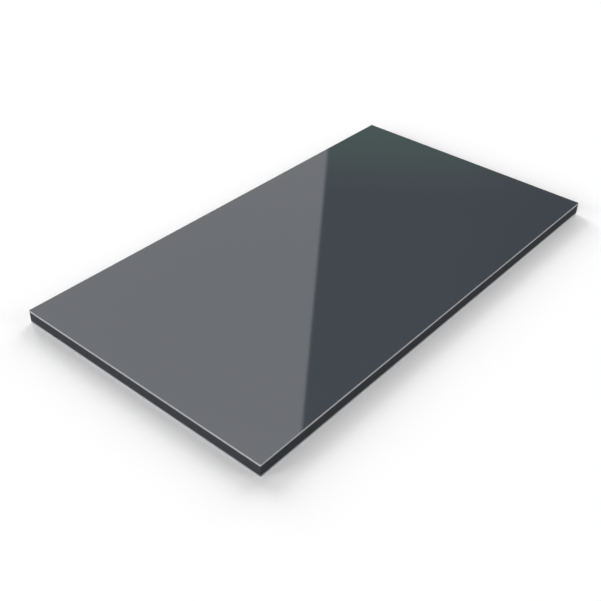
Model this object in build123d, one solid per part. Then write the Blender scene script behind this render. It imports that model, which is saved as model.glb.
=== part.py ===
from build123d import *
import os

# Aluminium composite panel: a small cut piece, lying flat with its gloss side up.
# It is a sandwich of two aluminium sheets with a dark plastic core between them.
# Lengths are in millimetres. X runs along the long side, Y along the short side, Z up.
# The origin is the centre of the back face, which the panel lies on.

# Size of the cut piece
LENGTH = 113.0
WIDTH = 62.0

# Thickness of each layer, from the back face up
BACK_SKIN = 0.4
CORE = 2.2
FRONT_SKIN = 0.4

# Easing left by the cut: the upright corners, and the arris around each outer face
CORNER_RADIUS = 0.2
ARRIS_RADIUS = 0.08

# Heights where one layer ends and the next begins
CORE_BOTTOM = BACK_SKIN
CORE_TOP = CORE_BOTTOM + CORE

# Which face is a skin's outer one, counted from its lowest
LOWEST = 0
HIGHEST = -1


def layer(bottom, thickness):
    """One layer over the whole piece. All three share the outline of one cut."""
    outline = RectangleRounded(LENGTH, WIDTH, CORNER_RADIUS)
    return Pos(0, 0, bottom) * extrude(outline, amount=thickness)


def skin(bottom, thickness, outer):
    """One aluminium sheet, with the arris around its outer face eased."""
    sheet = layer(bottom, thickness)
    outer_face = sheet.faces().sort_by(Axis.Z)[outer]
    return fillet(outer_face.edges(), ARRIS_RADIUS)


def back_skin():
    """The lower sheet, whose outer face the panel rests on."""
    return skin(0, BACK_SKIN, LOWEST)


def core():
    """The plastic core, bonded to both skins and cut flush with them."""
    return layer(CORE_BOTTOM, CORE)


def front_skin():
    """The upper sheet, whose outer face carries the gloss coating."""
    return skin(CORE_TOP, FRONT_SKIN, HIGHEST)


PARTS = {
    "back_skin": back_skin,
    "core": core,
    "front_skin": front_skin,
}

os.makedirs("parts", exist_ok=True)
for node, make in PARTS.items():
    export_step(make(), f"parts/{node}.step")
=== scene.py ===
import math

import bpy
from mathutils import Matrix, Vector, noise


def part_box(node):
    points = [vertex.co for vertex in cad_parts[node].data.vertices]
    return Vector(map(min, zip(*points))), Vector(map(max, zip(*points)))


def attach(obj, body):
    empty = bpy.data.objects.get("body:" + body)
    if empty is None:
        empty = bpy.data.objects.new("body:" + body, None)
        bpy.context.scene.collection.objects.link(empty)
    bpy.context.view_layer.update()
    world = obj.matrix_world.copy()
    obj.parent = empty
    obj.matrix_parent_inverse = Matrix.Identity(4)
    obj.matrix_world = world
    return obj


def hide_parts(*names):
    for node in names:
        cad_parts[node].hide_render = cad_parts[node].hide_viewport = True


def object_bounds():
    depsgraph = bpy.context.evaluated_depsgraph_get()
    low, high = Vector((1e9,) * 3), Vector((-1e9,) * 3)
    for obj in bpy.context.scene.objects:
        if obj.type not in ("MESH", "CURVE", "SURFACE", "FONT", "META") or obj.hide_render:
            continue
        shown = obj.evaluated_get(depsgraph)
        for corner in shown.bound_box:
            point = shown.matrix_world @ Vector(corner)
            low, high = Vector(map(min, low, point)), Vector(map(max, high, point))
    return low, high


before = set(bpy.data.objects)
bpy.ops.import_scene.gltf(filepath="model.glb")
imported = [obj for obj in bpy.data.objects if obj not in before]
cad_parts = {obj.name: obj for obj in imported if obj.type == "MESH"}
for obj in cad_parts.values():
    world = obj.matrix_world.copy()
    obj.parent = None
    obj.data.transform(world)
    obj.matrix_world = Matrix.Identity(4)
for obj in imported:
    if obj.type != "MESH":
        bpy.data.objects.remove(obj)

CAD_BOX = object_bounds()

# A millimetre, in the metres that the scene is built in
MM = 0.001

# The upright corners and the arris around each outer face, as the cut leaves them
CORNER_RADIUS = 0.2 * MM
ARRIS_RADIUS = 0.08 * MM

# How finely the cut edges are drawn: along a side, round a corner, over an arris and up each layer
SIDE_STEP = 0.25 * MM
CORNER_STEPS = 8
ARRIS_STEPS = 4
SKIN_STEPS = 4
CORE_STEPS = 16
SHARP_ANGLE = math.radians(40)

# Marks that the cutter leaves across the edges: even ridges that drift a little, and finer scuffs
MARK_PITCH = 1.1 * MM
MARK_LEAN = 0.35
MARK_DRIFT = 0.5
METAL_MARK_DEPTH = 0.004 * MM
CORE_MARK_DEPTH = 0.012 * MM
UNEVEN_LENGTH = 2.3 * MM
SCUFFS_PER_UNEVEN_LENGTH = 6.0
SCUFF_START = Vector((0.0, 0.0, 7.0))
RIDGE_SHARE = 0.6

# The camera, worked out from the borders of the panel in the photograph
CAMERA_PLACE = Vector((-131.31, -100.24, 112.66)) * MM
CAMERA_AZIMUTH = math.radians(-50.481)
CAMERA_ELEVATION = math.radians(36.757)
CAMERA_ROLL = math.radians(1.529)
FIELD_OF_VIEW = math.radians(36.743)
NEAREST_SEEN = 5 * MM
FARTHEST_SEEN = 50.0

# The photograph's frame, and two points on the border of the reflection, in its pixels
PHOTO_SIDE = 601
BORDER_FAR_PIXEL = (325.3, 170.0)
BORDER_NEAR_PIXEL = (303.1, 410.0)

# Colours, as linear red, green and blue
ANTHRACITE = (0.0425, 0.0508, 0.0620)
CUT_ALUMINIUM = (0.408, 0.417, 0.437)
BLACK_PLASTIC = (0.0332, 0.0347, 0.0388)
SERVICE_COAT = (0.52, 0.53, 0.53)
FLOOR_WHITE = (0.99, 0.99, 0.99)
WHITE = (1.0, 1.0, 1.0)


def outline(half_x, half_y, radius):
    """Points counter-clockwise round a rounded rectangle: place, outward direction, way along."""
    points = []
    way = 0.0
    for turn in range(4):
        angle = turn * math.pi / 2
        ahead = Vector((-math.sin(angle), math.cos(angle)))
        outward = Vector((math.cos(angle), math.sin(angle)))
        reach, half = (half_x, half_y) if turn % 2 == 0 else (half_y, half_x)
        straight = 2 * (half - radius)
        steps = round(straight / SIDE_STEP)
        for i in range(steps):
            along = straight * i / steps
            points.append((outward * reach + ahead * (along - straight / 2), outward, way + along))
        way += straight
        centre = outward * (reach - radius) + ahead * (straight / 2)
        for i in range(CORNER_STEPS):
            bend = math.pi / 2 * i / CORNER_STEPS
            outward_here = outward * math.cos(bend) + ahead * math.sin(bend)
            points.append((centre + outward_here * radius, outward_here, way + radius * bend))
        way += radius * math.pi / 2
    return points


def cutter_mark(way, height, depth):
    """How far the cut surface lies inside the true one, at a way along the edge and a height."""
    here = Vector((way / UNEVEN_LENGTH, height / UNEVEN_LENGTH, 0.0))
    drift = MARK_DRIFT * noise.noise(here)
    phase = 2 * math.pi * ((way + MARK_LEAN * height) / MARK_PITCH + drift)
    ridge = 0.5 - 0.5 * math.cos(phase)
    scuff = 0.5 + 0.5 * noise.noise(here * SCUFFS_PER_UNEVEN_LENGTH + SCUFF_START)
    return depth * (RIDGE_SHARE * ridge + (1 - RIDGE_SHARE) * scuff)


def arris_rings(z_face, direction):
    """Rings over a rounded arris, from the side towards the outer face: height and inset."""
    rings = []
    for i in range(ARRIS_STEPS + 1):
        bend = math.pi / 2 * i / ARRIS_STEPS
        height = z_face - direction * ARRIS_RADIUS * (1 - math.sin(bend))
        rings.append((height, ARRIS_RADIUS * (1 - math.cos(bend))))
    return rings


def side_rings(low, high, steps):
    """Rings up a straight side: height and inset."""
    return [(low + (high - low) * i / steps, 0.0) for i in range(steps + 1)]


def loft(rings, depth):
    """Vertices and faces of a closed layer through its rings, and how many faces each band has."""
    low, high = CAD_BOX
    points = outline((high[0] - low[0]) / 2, (high[1] - low[1]) / 2, CORNER_RADIUS)
    count = len(points)
    vertices = []
    for z, inset in rings:
        for place, outward, way in points:
            at = place - outward * (inset + cutter_mark(way, z, depth))
            vertices.append((at.x, at.y, z))
    faces = [tuple(reversed(range(count)))]
    for ring in range(len(rings) - 1):
        base = ring * count
        for i in range(count):
            after = (i + 1) % count
            faces.append((base + i, base + after, base + count + after, base + count + i))
    top = (len(rings) - 1) * count
    faces.append(tuple(range(top, top + count)))
    return vertices, faces, count


def new_object(name, vertices, faces, materials):
    """A new object in the scene, from these vertices, faces and materials."""
    mesh = bpy.data.meshes.new(name)
    mesh.from_pydata(vertices, [], faces)
    for material in materials:
        mesh.materials.append(material)
    new = bpy.data.objects.new(name, mesh)
    bpy.context.scene.collection.objects.link(new)
    return new


def layer(name, rings, depth, materials, material_of):
    """A closed layer of the panel. Its foot is band -1, and its head is the band after the last."""
    vertices, faces, count = loft(rings, depth)
    piece = new_object(name, vertices, faces, materials)
    head = len(rings) - 1
    # Sharp edges are set first, because that call also changes which faces are smooth
    piece.data.set_sharp_from_angle(angle=SHARP_ANGLE)
    for index, polygon in enumerate(piece.data.polygons):
        band = (index - 1) // count
        polygon.material_index = material_of(band, head)
        polygon.use_smooth = 0 <= band < head
    return piece


def shade(colour, factor):
    """A lighter or darker shade of a colour."""
    return tuple(part * factor for part in colour)


class Nodes:
    """The node tree of a material or of the world, with a short way to write it."""

    # The sockets of a colour mix: its factor, its two colours and its result
    MIX_FACTOR = 0
    MIX_COLOURS = (6, 7)
    MIX_RESULT = 2

    def __init__(self, owner):
        self.owner = owner
        self.owner.use_nodes = True
        self.tree = self.owner.node_tree
        self.tree.nodes.clear()

    def add(self, kind, inputs=None, **settings):
        """A new node. Each input is a value or the socket that feeds it."""
        node = self.tree.nodes.new(kind)
        for key, value in settings.items():
            setattr(node, key, value)
        for key, value in (inputs or {}).items():
            if isinstance(value, bpy.types.NodeSocket):
                self.tree.links.new(value, node.inputs[key])
            else:
                node.inputs[key].default_value = value
        return node

    def math(self, operation, *values):
        """The result of an operation on values or sockets."""
        return self.add("ShaderNodeMath", dict(enumerate(values)), operation=operation).outputs[0]

    def blend(self, first, second, share):
        """Two patterns in one, with this share of the first."""
        return self.math("MULTIPLY_ADD", first, share, self.math("MULTIPLY", second, 1 - share))

    def noise(self, scale, detail=2.0, roughness=0.5, stretch=(1.0, 1.0, 1.0)):
        """A pattern fixed to the piece. Scale is in waves to a metre, times the factor for each axis."""
        where = self.add("ShaderNodeTexCoord").outputs["Object"]
        where = self.add("ShaderNodeMapping", {"Vector": where, "Scale": stretch}).outputs[0]
        inputs = {"Vector": where, "Scale": scale, "Detail": detail, "Roughness": roughness}
        return self.add("ShaderNodeTexNoise", inputs).outputs["Fac"]

    def spread(self, value, low, high, start=0.0, end=1.0, curve="LINEAR"):
        """A value between start and end, mapped to one between low and high."""
        inputs = {"Value": value, "From Min": start, "From Max": end, "To Min": low, "To Max": high}
        return self.add("ShaderNodeMapRange", inputs, interpolation_type=curve).outputs["Result"]

    def rise(self, value, start, end, curve="LINEAR"):
        """A value that goes from 0 at start to 1 at end, and stays so outside them."""
        return self.spread(value, 0.0, 1.0, start, end, curve)

    def mix(self, factor, low, high):
        """A colour between two others, which are colours or sockets."""
        node = self.add("ShaderNodeMix", {self.MIX_FACTOR: factor}, data_type="RGBA")
        for slot, value in zip(self.MIX_COLOURS, (low, high)):
            if isinstance(value, bpy.types.NodeSocket):
                self.tree.links.new(value, node.inputs[slot])
            else:
                node.inputs[slot].default_value = (*value, 1.0)
        return node.outputs[self.MIX_RESULT]

    def shades(self, factor, colour, dark, light):
        """A colour between a darker and a lighter shade of itself."""
        return self.mix(factor, shade(colour, dark), shade(colour, light))

    def bump(self, height, distance):
        """A normal that follows a pattern as if the surface rose by this distance."""
        return self.add("ShaderNodeBump", {"Height": height, "Distance": distance}).outputs[0]

    def output(self, shader):
        """Makes a shader the surface, and gives back what owns the tree."""
        kind = "World" if isinstance(self.owner, bpy.types.World) else "Material"
        self.add("ShaderNodeOutput" + kind, {"Surface": shader.outputs[0]})
        return self.owner


def material_nodes(name):
    """The empty node tree of a new material."""
    return Nodes(bpy.data.materials.new(name))


# Gloss coating: the paint's slow drift, its fine grain, and the orange peel of its surface
PAINT_DRIFT = {"scale": 60.0, "detail": 3.0}
PAINT_GRAIN = {"scale": 2600.0}
ORANGE_PEEL = {"scale": 900.0, "detail": 1.0}
PAINT_SHADES = (0.985, 1.015)
GRAIN_SHADE = 1.03
GRAIN_STRENGTH = 0.35
PAINT_ROUGHNESS = (0.026, 0.030)
ORANGE_PEEL_DEPTH = 0.0004 * MM


def gloss_coating():
    """Coil coating: a smooth anthracite paint film with a very faint orange peel."""
    n = material_nodes("gloss_coating")
    drift = n.noise(**PAINT_DRIFT)
    grain = n.spread(n.noise(**PAINT_GRAIN), 0.0, GRAIN_STRENGTH)
    colour = n.mix(grain, n.shades(drift, ANTHRACITE, *PAINT_SHADES), shade(ANTHRACITE, GRAIN_SHADE))
    paint = n.add("ShaderNodeBsdfPrincipled", {
        "Base Color": colour,
        "Roughness": n.spread(drift, *PAINT_ROUGHNESS),
        "Normal": n.bump(n.noise(**ORANGE_PEEL), ORANGE_PEEL_DEPTH),
        "IOR": 1.5,
    })
    return n.output(paint)


# Cut aluminium: upright lines and broader bands. The span is where most of the pattern's values lie.
METAL_LINES = {"scale": 9000.0, "detail": 3.0, "roughness": 0.65, "stretch": (1.0, 1.0, 0.08)}
METAL_BANDS = {"scale": 1900.0, "stretch": (1.0, 1.0, 0.3)}
METAL_LINES_SHARE = 0.75
METAL_SPAN = (0.3, 0.7)
METAL_SHADES = (0.86, 1.14)
METAL_ROUGHNESS = (0.58, 0.40)
METAL_LINE_DEPTH = 0.03 * MM


def cut_aluminium():
    """Bare aluminium where the cutter went through: fine bright and dull lines across the edge."""
    n = material_nodes("cut_aluminium")
    scratches = n.blend(n.noise(**METAL_LINES), n.noise(**METAL_BANDS), METAL_LINES_SHARE)
    metal = n.add("ShaderNodeBsdfPrincipled", {
        "Base Color": n.shades(n.rise(scratches, *METAL_SPAN), CUT_ALUMINIUM, *METAL_SHADES),
        "Metallic": 0.5,
        "Roughness": n.spread(scratches, *METAL_ROUGHNESS, *METAL_SPAN),
        "Specular IOR Level": 0.05,
        "Specular Tint": (0.6, 0.6, 0.6, 1.0),
        "Normal": n.bump(scratches, METAL_LINE_DEPTH),
    })
    return n.output(metal)


# Core plastic: upright lines, smears along the edge, and specks. The highest places of the relief are
# painted paler, a painted highlight on the ridges.
CORE_LINES = {"scale": 5200.0, "detail": 3.0, "roughness": 0.6, "stretch": (1.0, 1.0, 0.14)}
CORE_SMEARS = {"scale": 520.0, "detail": 4.0, "roughness": 0.65, "stretch": (1.0, 1.0, 2.5)}
CORE_SPECKS = {"scale": 11000.0}
CORE_LINES_SHARE = 0.7
SMEAR_SPAN = (0.3, 0.7)
SMEAR_SHADES = (0.88, 1.12)
RIDGE_HIGHLIGHT_SPAN = (0.55, 0.75)
RIDGE_HIGHLIGHT_SHADE = 1.5
RIDGE_HIGHLIGHT_STRENGTH = 0.6
CORE_ROUGHNESS = (0.62, 0.8)
CORE_LINE_DEPTH = 0.05 * MM


def core_plastic():
    """Dark polyethylene with fine cutter lines, small smears and specks, and a painted highlight on the
    highest places.
    """
    n = material_nodes("core_plastic")
    texture = n.blend(n.noise(**CORE_LINES), n.noise(**CORE_SPECKS), CORE_LINES_SHARE)
    smears = n.noise(**CORE_SMEARS)
    colour = n.shades(n.rise(smears, *SMEAR_SPAN), BLACK_PLASTIC, *SMEAR_SHADES)
    # Painted highlight: the colour turns paler where the relief is highest
    painted_ridge_highlight = n.spread(texture, 0.0, RIDGE_HIGHLIGHT_STRENGTH, *RIDGE_HIGHLIGHT_SPAN)
    plastic = n.add("ShaderNodeBsdfPrincipled", {
        "Base Color": n.mix(painted_ridge_highlight, colour, shade(BLACK_PLASTIC, RIDGE_HIGHLIGHT_SHADE)),
        "Roughness": n.spread(smears, *CORE_ROUGHNESS),
        "Normal": n.bump(texture, CORE_LINE_DEPTH),
        "IOR": 1.5,
        "Specular IOR Level": 0.05,
    })
    return n.output(plastic)


# Service coat: fine rolling lines and broader streaks, both drawn out along the sheet, and soft clouds
ROLLING_LINES = {"scale": 2600.0, "detail": 4.0, "roughness": 0.65, "stretch": (0.02, 1.0, 1.0)}
ROLLING_STREAKS = {"scale": 480.0, "detail": 3.0, "roughness": 0.6, "stretch": (0.012, 1.0, 1.0)}
COAT_CLOUDS = {"scale": 45.0, "detail": 3.0}
ROLLING_LINES_SHARE = 0.55
ROLLING_SPAN = (0.35, 0.65)
ROLLING_SHADES = (0.88, 1.08)
CLOUD_SHADE = 0.95
CLOUD_STRENGTH = 0.5
COAT_ROUGHNESS = (0.30, 0.50)
ROLLING_DEPTH = 0.012 * MM


def service_coat():
    """The back sheet's thin clear coat over mill-finished aluminium, with rolling lines along it."""
    n = material_nodes("service_coat")
    rolling = n.blend(n.noise(**ROLLING_LINES), n.noise(**ROLLING_STREAKS), ROLLING_LINES_SHARE)
    colour = n.shades(n.rise(rolling, *ROLLING_SPAN), SERVICE_COAT, *ROLLING_SHADES)
    clouds = n.spread(n.noise(**COAT_CLOUDS), 0.0, CLOUD_STRENGTH)
    metal = n.add("ShaderNodeBsdfPrincipled", {
        "Base Color": n.mix(clouds, colour, shade(SERVICE_COAT, CLOUD_SHADE)),
        "Metallic": 0.85,
        "Roughness": n.spread(rolling, *COAT_ROUGHNESS, *ROLLING_SPAN),
        "Normal": n.bump(rolling, ROLLING_DEPTH),
    })
    return n.output(metal)


# Where each material stands in the list of a sheet's materials
COATING = 0
METAL = 1


def build_front_sheet(coating, metal):
    """The upper sheet, coated on its face and just over its arris."""
    low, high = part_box("front_skin")
    rings = side_rings(low[2], high[2] - ARRIS_RADIUS, SKIN_STEPS)[:-1] + arris_rings(high[2], 1)

    def material_of(band, head):
        return COATING if band >= head - 1 else METAL

    piece = layer("front_sheet", rings, METAL_MARK_DEPTH, (coating, metal), material_of)
    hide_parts("front_skin")
    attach(piece, "root")


def build_core(plastic):
    """The plastic core, flush with both sheets and cut with the deeper marks of soft plastic."""
    low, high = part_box("core")
    rings = side_rings(low[2], high[2], CORE_STEPS)
    piece = layer("core_slab", rings, CORE_MARK_DEPTH, (plastic,), lambda band, head: 0)
    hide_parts("core")
    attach(piece, "root")


def build_back_sheet(coating, metal):
    """The lower sheet, coated on the face that the panel lies on."""
    low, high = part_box("back_skin")
    rings = arris_rings(low[2], -1)[::-1] + side_rings(low[2] + ARRIS_RADIUS, high[2], SKIN_STEPS)[1:]

    def material_of(band, head):
        return COATING if band <= 0 else METAL

    piece = layer("back_sheet", rings, METAL_MARK_DEPTH, (coating, metal), material_of)
    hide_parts("back_skin")
    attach(piece, "root")


# Stage: a white floor that keeps the shadow
FLOOR_REACH = 6.0
FLOOR_DROP = 0.01 * MM


def build_floor():
    """A wide floor, a hair below the panel."""
    n = material_nodes("floor_white")
    material = n.output(n.add("ShaderNodeBsdfDiffuse", {"Color": (*FLOOR_WHITE, 1.0)}))
    signs = ((-1, -1), (1, -1), (1, 1), (-1, 1))
    corners = [(x * FLOOR_REACH, y * FLOOR_REACH, -FLOOR_DROP) for x, y in signs]
    floor = new_object("floor", corners, [(0, 1, 2, 3)], (material,))


# Light. Each share is the part of the floor's light that comes from there. Angles are in degrees.
WORLD_SHARE = 0.041
SUNS = {
    "back_left_light": {"azimuth": 70, "elevation": 20, "angle": 36, "share": 0.267},
    "back_right_light": {"azimuth": 20, "elevation": 22, "angle": 40, "share": 0.215},
    "left_light": {"azimuth": 150, "elevation": 16, "angle": 28, "share": 0.109},
    "front_left_light": {"azimuth": 196, "elevation": 26, "angle": 44, "share": 0.299},
    "right_light": {"azimuth": 300, "elevation": 20, "angle": 36, "share": 0.092},
}


def build_sun(name, azimuth, elevation, angle, share):
    """A soft distant light that comes from that side of the sky, hidden from reflections."""
    height = math.radians(elevation)
    side = math.radians(azimuth)
    level = Vector((math.cos(side), math.sin(side), 0.0))
    towards = level * math.cos(height) + Vector((0.0, 0.0, math.sin(height)))
    lamp = bpy.data.lights.new(name, "SUN")
    lamp.angle = math.radians(angle)
    lamp.energy = share * math.pi / math.sin(height)
    sun = bpy.data.objects.new(name, lamp)
    sun.rotation_euler = towards.to_track_quat("Z", "Y").to_euler()
    sun.visible_glossy = False
    bpy.context.scene.collection.objects.link(sun)


def build_world():
    """A dim even studio for soft light. The camera and the gloss see its white walls."""
    world = bpy.data.worlds.new("studio")
    bpy.context.scene.world = world
    world.cycles.sampling_method = "NONE"
    n = Nodes(world)
    path = n.add("ShaderNodeLightPath").outputs
    seen = path["Is Camera Ray"]
    for ray in ("Is Glossy Ray", "Is Transmission Ray"):
        seen = n.math("MAXIMUM", seen, path[ray])
    n.output(n.add("ShaderNodeBackground", {
        "Color": (*WHITE, 1.0),
        "Strength": n.spread(seen, WORLD_SHARE, 1.0),
    }))


def camera_heading():
    """The level direction that the camera looks in."""
    return Vector((-math.sin(CAMERA_AZIMUTH), math.cos(CAMERA_AZIMUTH), 0.0))


def camera_turn():
    """The camera's rotation, from one that looks straight down with its top towards +Y."""
    tilt = math.pi / 2 - CAMERA_ELEVATION
    return (
        Matrix.Rotation(CAMERA_AZIMUTH, 4, "Z")
        @ Matrix.Rotation(tilt, 4, "X")
        @ Matrix.Rotation(CAMERA_ROLL, 4, "Z")
    )


def build_camera():
    """The camera of the photograph."""
    lens = bpy.data.cameras.new("camera")
    lens.angle = FIELD_OF_VIEW
    lens.clip_start = NEAREST_SEEN
    lens.clip_end = FARTHEST_SEEN
    camera = bpy.data.objects.new("camera", lens)
    camera.matrix_world = Matrix.Translation(CAMERA_PLACE) @ camera_turn()
    bpy.context.scene.collection.objects.link(camera)
    bpy.context.scene.camera = camera


# The upright card that the gloss face mirrors, in metres. It stands this far ahead of the part's origin.
CARD_DISTANCE = 0.6
CARD_REACH = 1.2
CARD_OVERHANG = 0.75
BORDER_SOFTNESS = 2.3 * MM

# Its left part is a softbox that brightens with height
SOFTBOX_LOW = (1.09, 1.085, 1.11)
SOFTBOX_HIGH = (2.38, 2.35, 2.38)
SOFTBOX_HEIGHTS = (0.25, 0.70)

# Its right part is a dark flag, with a green stretch low down and a darker far side
FLAG_LOW = (0.19, 0.185, 0.20)
FLAG_HIGH = (0.30, 0.305, 0.325)
FLAG_HEIGHTS = (0.33, 0.60)
FLAG_GREEN = (0.25, 0.415, 0.30)
FLAG_GREEN_HEIGHTS = (0.265, 0.345)
FLAG_FOOT_HEIGHTS = (0.15, 0.255)
FLAG_FAR = (0.14, 0.145, 0.155)
FLAG_FAR_REACH = (0.10, 0.26)

# Both fade into the studio's white at the head
CARD_HEAD_HEIGHTS = (0.80, 1.30)


def on_card(pixel):
    """The place on the card that the gloss face mirrors at a pixel."""
    top = CAD_BOX[1][2]
    half = PHOTO_SIDE / 2
    focal = half / math.tan(FIELD_OF_VIEW / 2)
    centre = (PHOTO_SIDE - 1) / 2
    ray = camera_turn().to_3x3() @ Vector((pixel[0] - centre, centre - pixel[1], -focal))
    face = CAMERA_PLACE + ray * ((top - CAMERA_PLACE.z) / ray.z)
    mirrored = Vector((ray.x, ray.y, -ray.z))
    heading = camera_heading()
    return face + mirrored * ((CARD_DISTANCE - face.dot(heading)) / mirrored.dot(heading))


def card_glow(border_at, across):
    """The card's own light, by height and by the distance to the right of the border."""
    n = material_nodes("card_glow")
    where = n.add("ShaderNodeNewGeometry").outputs["Position"]
    height = n.add("ShaderNodeSeparateXYZ", {"Vector": where}).outputs["Z"]
    side = n.add("ShaderNodeVectorMath", {0: where, 1: across}, operation="DOT_PRODUCT").outputs["Value"]
    side = n.math("SUBTRACT", side, border_at.dot(across))
    softbox = n.mix(n.rise(height, *SOFTBOX_HEIGHTS), SOFTBOX_LOW, SOFTBOX_HIGH)
    flag = n.mix(n.rise(height, *FLAG_HEIGHTS), FLAG_LOW, FLAG_HIGH)
    flag = n.mix(n.rise(height, *FLAG_GREEN_HEIGHTS, "SMOOTHSTEP"), FLAG_GREEN, flag)
    flag = n.mix(n.rise(height, *FLAG_FOOT_HEIGHTS, "SMOOTHSTEP"), FLAG_LOW, flag)
    flag = n.mix(n.rise(side, *FLAG_FAR_REACH, "SMOOTHSTEP"), flag, FLAG_FAR)
    border = n.rise(side, -BORDER_SOFTNESS, BORDER_SOFTNESS, "SMOOTHSTEP")
    colour = n.mix(border, softbox, flag)
    colour = n.mix(n.rise(height, *CARD_HEAD_HEIGHTS, "SMOOTHSTEP"), colour, WHITE)
    material = n.output(n.add("ShaderNodeEmission", {"Color": colour, "Strength": 1.0}))
    material.cycles.emission_sampling = "NONE"
    return material


def build_card():
    """An upright card behind the panel. Its border is mirrored where the photograph shows it."""
    far, near = on_card(BORDER_FAR_PIXEL), on_card(BORDER_NEAR_PIXEL)
    upward = (near - far).normalized()
    across = camera_heading().cross(upward).normalized()
    right = across * CARD_REACH
    foot, head = far - upward * CARD_OVERHANG, near + upward * CARD_OVERHANG
    corners = [foot - right, foot + right, head + right, head - right]
    card = new_object("card", corners, [(0, 1, 2, 3)], (card_glow(far, across),))
    for ray in ("camera", "diffuse", "transmission", "volume_scatter", "shadow"):
        setattr(card, "visible_" + ray, False)


coating = gloss_coating()
metal = cut_aluminium()
build_front_sheet(coating, metal)
build_core(core_plastic())
build_back_sheet(service_coat(), metal)

build_floor()
build_world()
for name, light in SUNS.items():
    build_sun(name, **light)
build_card()
build_camera()

scene = bpy.context.scene
scene.view_settings.view_transform = "Standard"
